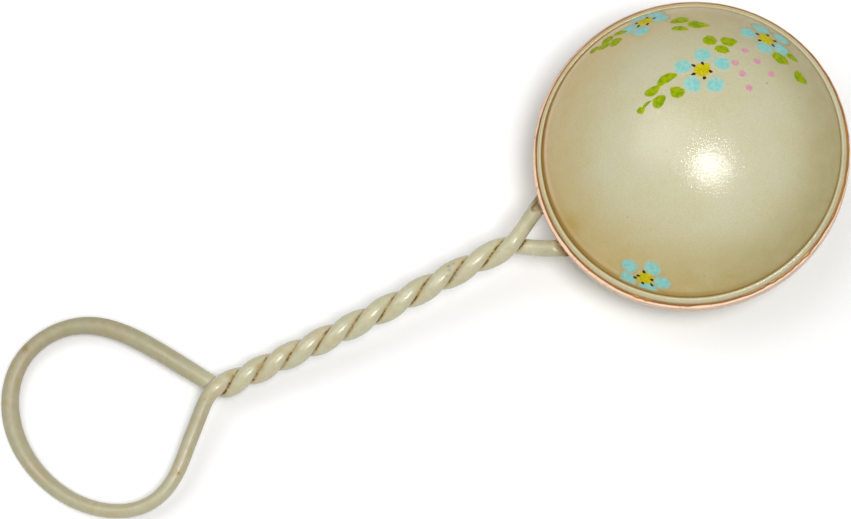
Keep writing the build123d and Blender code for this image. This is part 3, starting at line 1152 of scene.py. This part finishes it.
def make_painted(name, dabs, material):
    """One piece that holds all the dabs of a paint."""
    points, faces, cover = [], [], []
    for dab_points, dab_faces, dab_cover in dabs:
        faces += [[len(points) + corner for corner in face] for face in dab_faces]
        points += list(dab_points)
        cover += list(dab_cover)
    points = np.array(points)
    piece = make_piece(name, points, faces, material)
    store(piece, "stain_and_shade", edge_stain(points))
    store(piece, "warm", warm_side(points))
    store(piece, "cover", cover)


def blob_outline(length, width, chance, wobble, count=40):
    """A hand-made round dab."""
    phases = [chance.uniform(0, 2 * math.pi) for _ in range(3)]
    angles = ring_angles(count)
    wave = np.sin(2 * angles + phases[0]) + 0.7 * np.sin(3 * angles + phases[1])
    size = 1 + wobble * (wave + 0.4 * np.sin(5 * angles + phases[2]))
    return np.stack([length / 2 * size * np.cos(angles), width / 2 * size * np.sin(angles)], 1)


def leaf_outline(length, width, point, bend, chance, count=56):
    """A brush stroke from a round base to a tip. point is 0.5 for a round tip, 1 for a sharp one."""
    phases = [chance.uniform(0, 2 * math.pi) for _ in range(3)]
    fullest = 0.5 / (0.5 + point)
    peak = fullest**0.5 * (1 - fullest) ** point
    angles = ring_angles(count)
    share = (1 - np.cos(angles)) / 2
    half = width / 2 * share**0.5 * (1 - share) ** point / peak
    wave = 1 + 0.07 * np.sin(3 * angles + phases[0]) + 0.05 * np.sin(7 * angles + phases[1])
    side = np.where(angles < math.pi, 1, -1)
    curve = bend * length * (1 - (2 * share - 1) ** 2)
    return np.stack([length * (share - 0.5), curve + side * half * wave], 1)[::-1]


def paint_material(name, thin, thick, roughness, least_cover, mottle_size):
    """Brushed enamel over celluloid, thinner at its edges."""
    look = Look(name)
    strokes = look.noise(mottle_size, distortion=0.5, seed=71.0)
    colour = look.mix(look.span(strokes, 0.35, 0.68), thin, thick)
    worn = look.noise(0.35, roughness=0.7, seed=77.0)
    cover = look.times(look.attribute("cover"), look.span(worn, 0.3, 0.7, least_cover, 1.0))
    colour = look.mix(cover, celluloid_colour(look, dome_stain_and_shade(look)), colour)
    return look.finish(colour, roughness, celluloid_normal(look), specular=0.08)


def direction_and_run(base_x, base_y, tip_x, tip_y):
    """The middle of a stroke on the dome, its angle there in degrees, and its length."""
    base = dome_direction(base_x, base_y)
    tip = dome_direction(tip_x, tip_y)
    centre = (base + tip) / np.linalg.norm(base + tip)
    first, second = level_axes(centre)
    run = (tip - base) * SPHERE_RADIUS
    return centre, math.degrees(math.atan2(run @ second, run @ first)), np.linalg.norm(run)


def within_rim(place, angle, outline):
    """Draw an outline in where it would run off the dome's edge."""
    shares = np.ones(len(outline))
    while shares.min() > 0.1:
        radius = round_rim(walk(place, angle, *(outline.T * shares)))[0] * SPHERE_RADIUS
        if radius.max() <= PAINT_LIMIT:
            break
        shares[radius > PAINT_LIMIT] -= 0.04
    return outline * shares[:, None]


def make_paint():
    """All the painting on the front dome."""
    chance = random.Random(7)
    petals, hearts, dots, leaves, buds = [], [], [], [], []
    for flower_place, petal_places, dot_places in FLOWERS:
        centre = dome_direction(*flower_place)
        for distance, angle in petal_places:
            turn = math.radians(angle)
            place = walk(centre, 0, [distance * math.cos(turn)], [distance * math.sin(turn)])[0]
            size = PETAL_SIZE + chance.uniform(-0.15, 0.2)
            outline = within_rim(place, angle, blob_outline(size * 0.95, size, chance, 0.04))
            petals.append(dab(place, angle, outline, 0.02, 0.5, steps=12))
        heart = blob_outline(HEART_SIZE, HEART_SIZE * 0.94, chance, 0.05)
        hearts.append(dab(centre, 0, heart, 0.05, 0.06))
        for dot_x, dot_y in dot_places:
            place = walk(centre, 0, [dot_x], [dot_y])[0]
            angle = math.degrees(math.atan2(dot_y, dot_x)) + chance.uniform(-25, 25)
            dots.append(dab(place, angle, blob_outline(0.9, 0.66, chance, 0.12, 20), 0.09, 0.03, steps=5))
    for base_x, base_y, tip_x, tip_y, width, point, bend in LEAVES:
        centre, angle, length = direction_and_run(base_x, base_y, tip_x, tip_y)
        outline = leaf_outline(length * LEAF_REACH, width * LEAF_FULLNESS, point, bend, chance)
        leaves.append(dab(centre, angle, outline, 0.035, 0.1))
    for x, y in BUDS:
        size = chance.uniform(1.8, 2.0)
        outline = blob_outline(size, size * 0.94, chance, 0.06, 28)
        buds.append(dab(dome_direction(x, y), 0, outline, 0.03, 0.4))
    for dabs, (name, looks) in zip((petals, hearts, dots, leaves, buds), PAINTS.items()):
        make_painted(name, dabs, paint_material(*looks))


make_paint()

# --- Floor, light and camera ---

FLOOR_HALF = 1.5
FLOOR_WHITE = (0.92, 0.92, 0.92)
FLOOR_SHADE = (0.9, 0.9, 0.9)


def make_floor():
    """A plain white table top."""
    mesh = bpy.data.meshes.new("table")
    near, far = -FLOOR_HALF, FLOOR_HALF
    corners = [(near, near, 0), (far, near, 0), (far, far, 0), (near, far, 0)]
    mesh.from_pydata(corners, [], [(0, 1, 2, 3)])
    floor = add_object("table", mesh)
    look = Look("white_table")
    clouds = look.noise(60.0, detail=2.0, roughness=0.5, seed=81.0)
    colour = look.mix(look.span(clouds, 0.3, 0.7), FLOOR_SHADE, FLOOR_WHITE)
    mesh.materials.append(look.finish(colour, 0.9, None, specular=0.1))


def direction_of(azimuth, elevation):
    """The direction at an azimuth and an elevation in degrees."""
    turn = math.radians(azimuth)
    across = math.cos(math.radians(elevation))
    return Vector((across * math.cos(turn), across * math.sin(turn), math.sin(math.radians(elevation))))


def add_light(name, azimuth, elevation, distance, size, power):
    """A square white softbox that looks at the rattle."""
    light = bpy.data.lights.new(name, "AREA")
    light.size = size
    light.energy = power
    lamp = add_object(name, light)
    away = direction_of(azimuth, elevation)
    lamp.location = away * distance
    lamp.rotation_euler = away.to_track_quat("Z", "Y").to_euler()


def add_world(strength):
    """Even white surroundings."""
    world = bpy.data.worlds.new("studio")
    world.use_nodes = True
    background = world.node_tree.nodes["Background"]
    background.inputs["Color"].default_value = (1, 1, 1, 1)
    background.inputs["Strength"].default_value = strength
    bpy.context.scene.world = world


def add_camera(aim, azimuth, elevation, roll, distance, lens):
    """A camera that looks at a point of the head's frame, rolled about its own axis."""
    camera = bpy.data.cameras.new("camera")
    camera.lens = lens
    camera.clip_start = 0.01
    holder = add_object("camera", camera)
    away = direction_of(azimuth, elevation)
    level = Vector((0, 0, 1)).cross(away).normalized()
    facing = Matrix((level, away.cross(level), away)).transposed()
    rolled = facing @ Matrix.Rotation(-math.radians(roll), 3, "Z")
    placed = Matrix.Translation((Vector(aim) + away * distance) * MM) @ rolled.to_4x4()
    head = Matrix((along_grip, across_grip, head_normal)).transposed().to_4x4()
    holder.matrix_world = Matrix.Translation(head_centre) @ head @ placed
    bpy.context.scene.camera = holder


make_floor()
add_light("key", azimuth=-76.0, elevation=74.6, distance=1.0, size=0.30, power=7.0)
add_light("second", azimuth=132.0, elevation=67.6, distance=1.2, size=0.8, power=5.2)
add_world(0.21)
add_camera((-57.18, 3.42, 0.0), azimuth=-74.498, elevation=75.553, roll=39.968, distance=477.69, lens=100.0)
bpy.context.scene.view_settings.view_transform = "Standard"
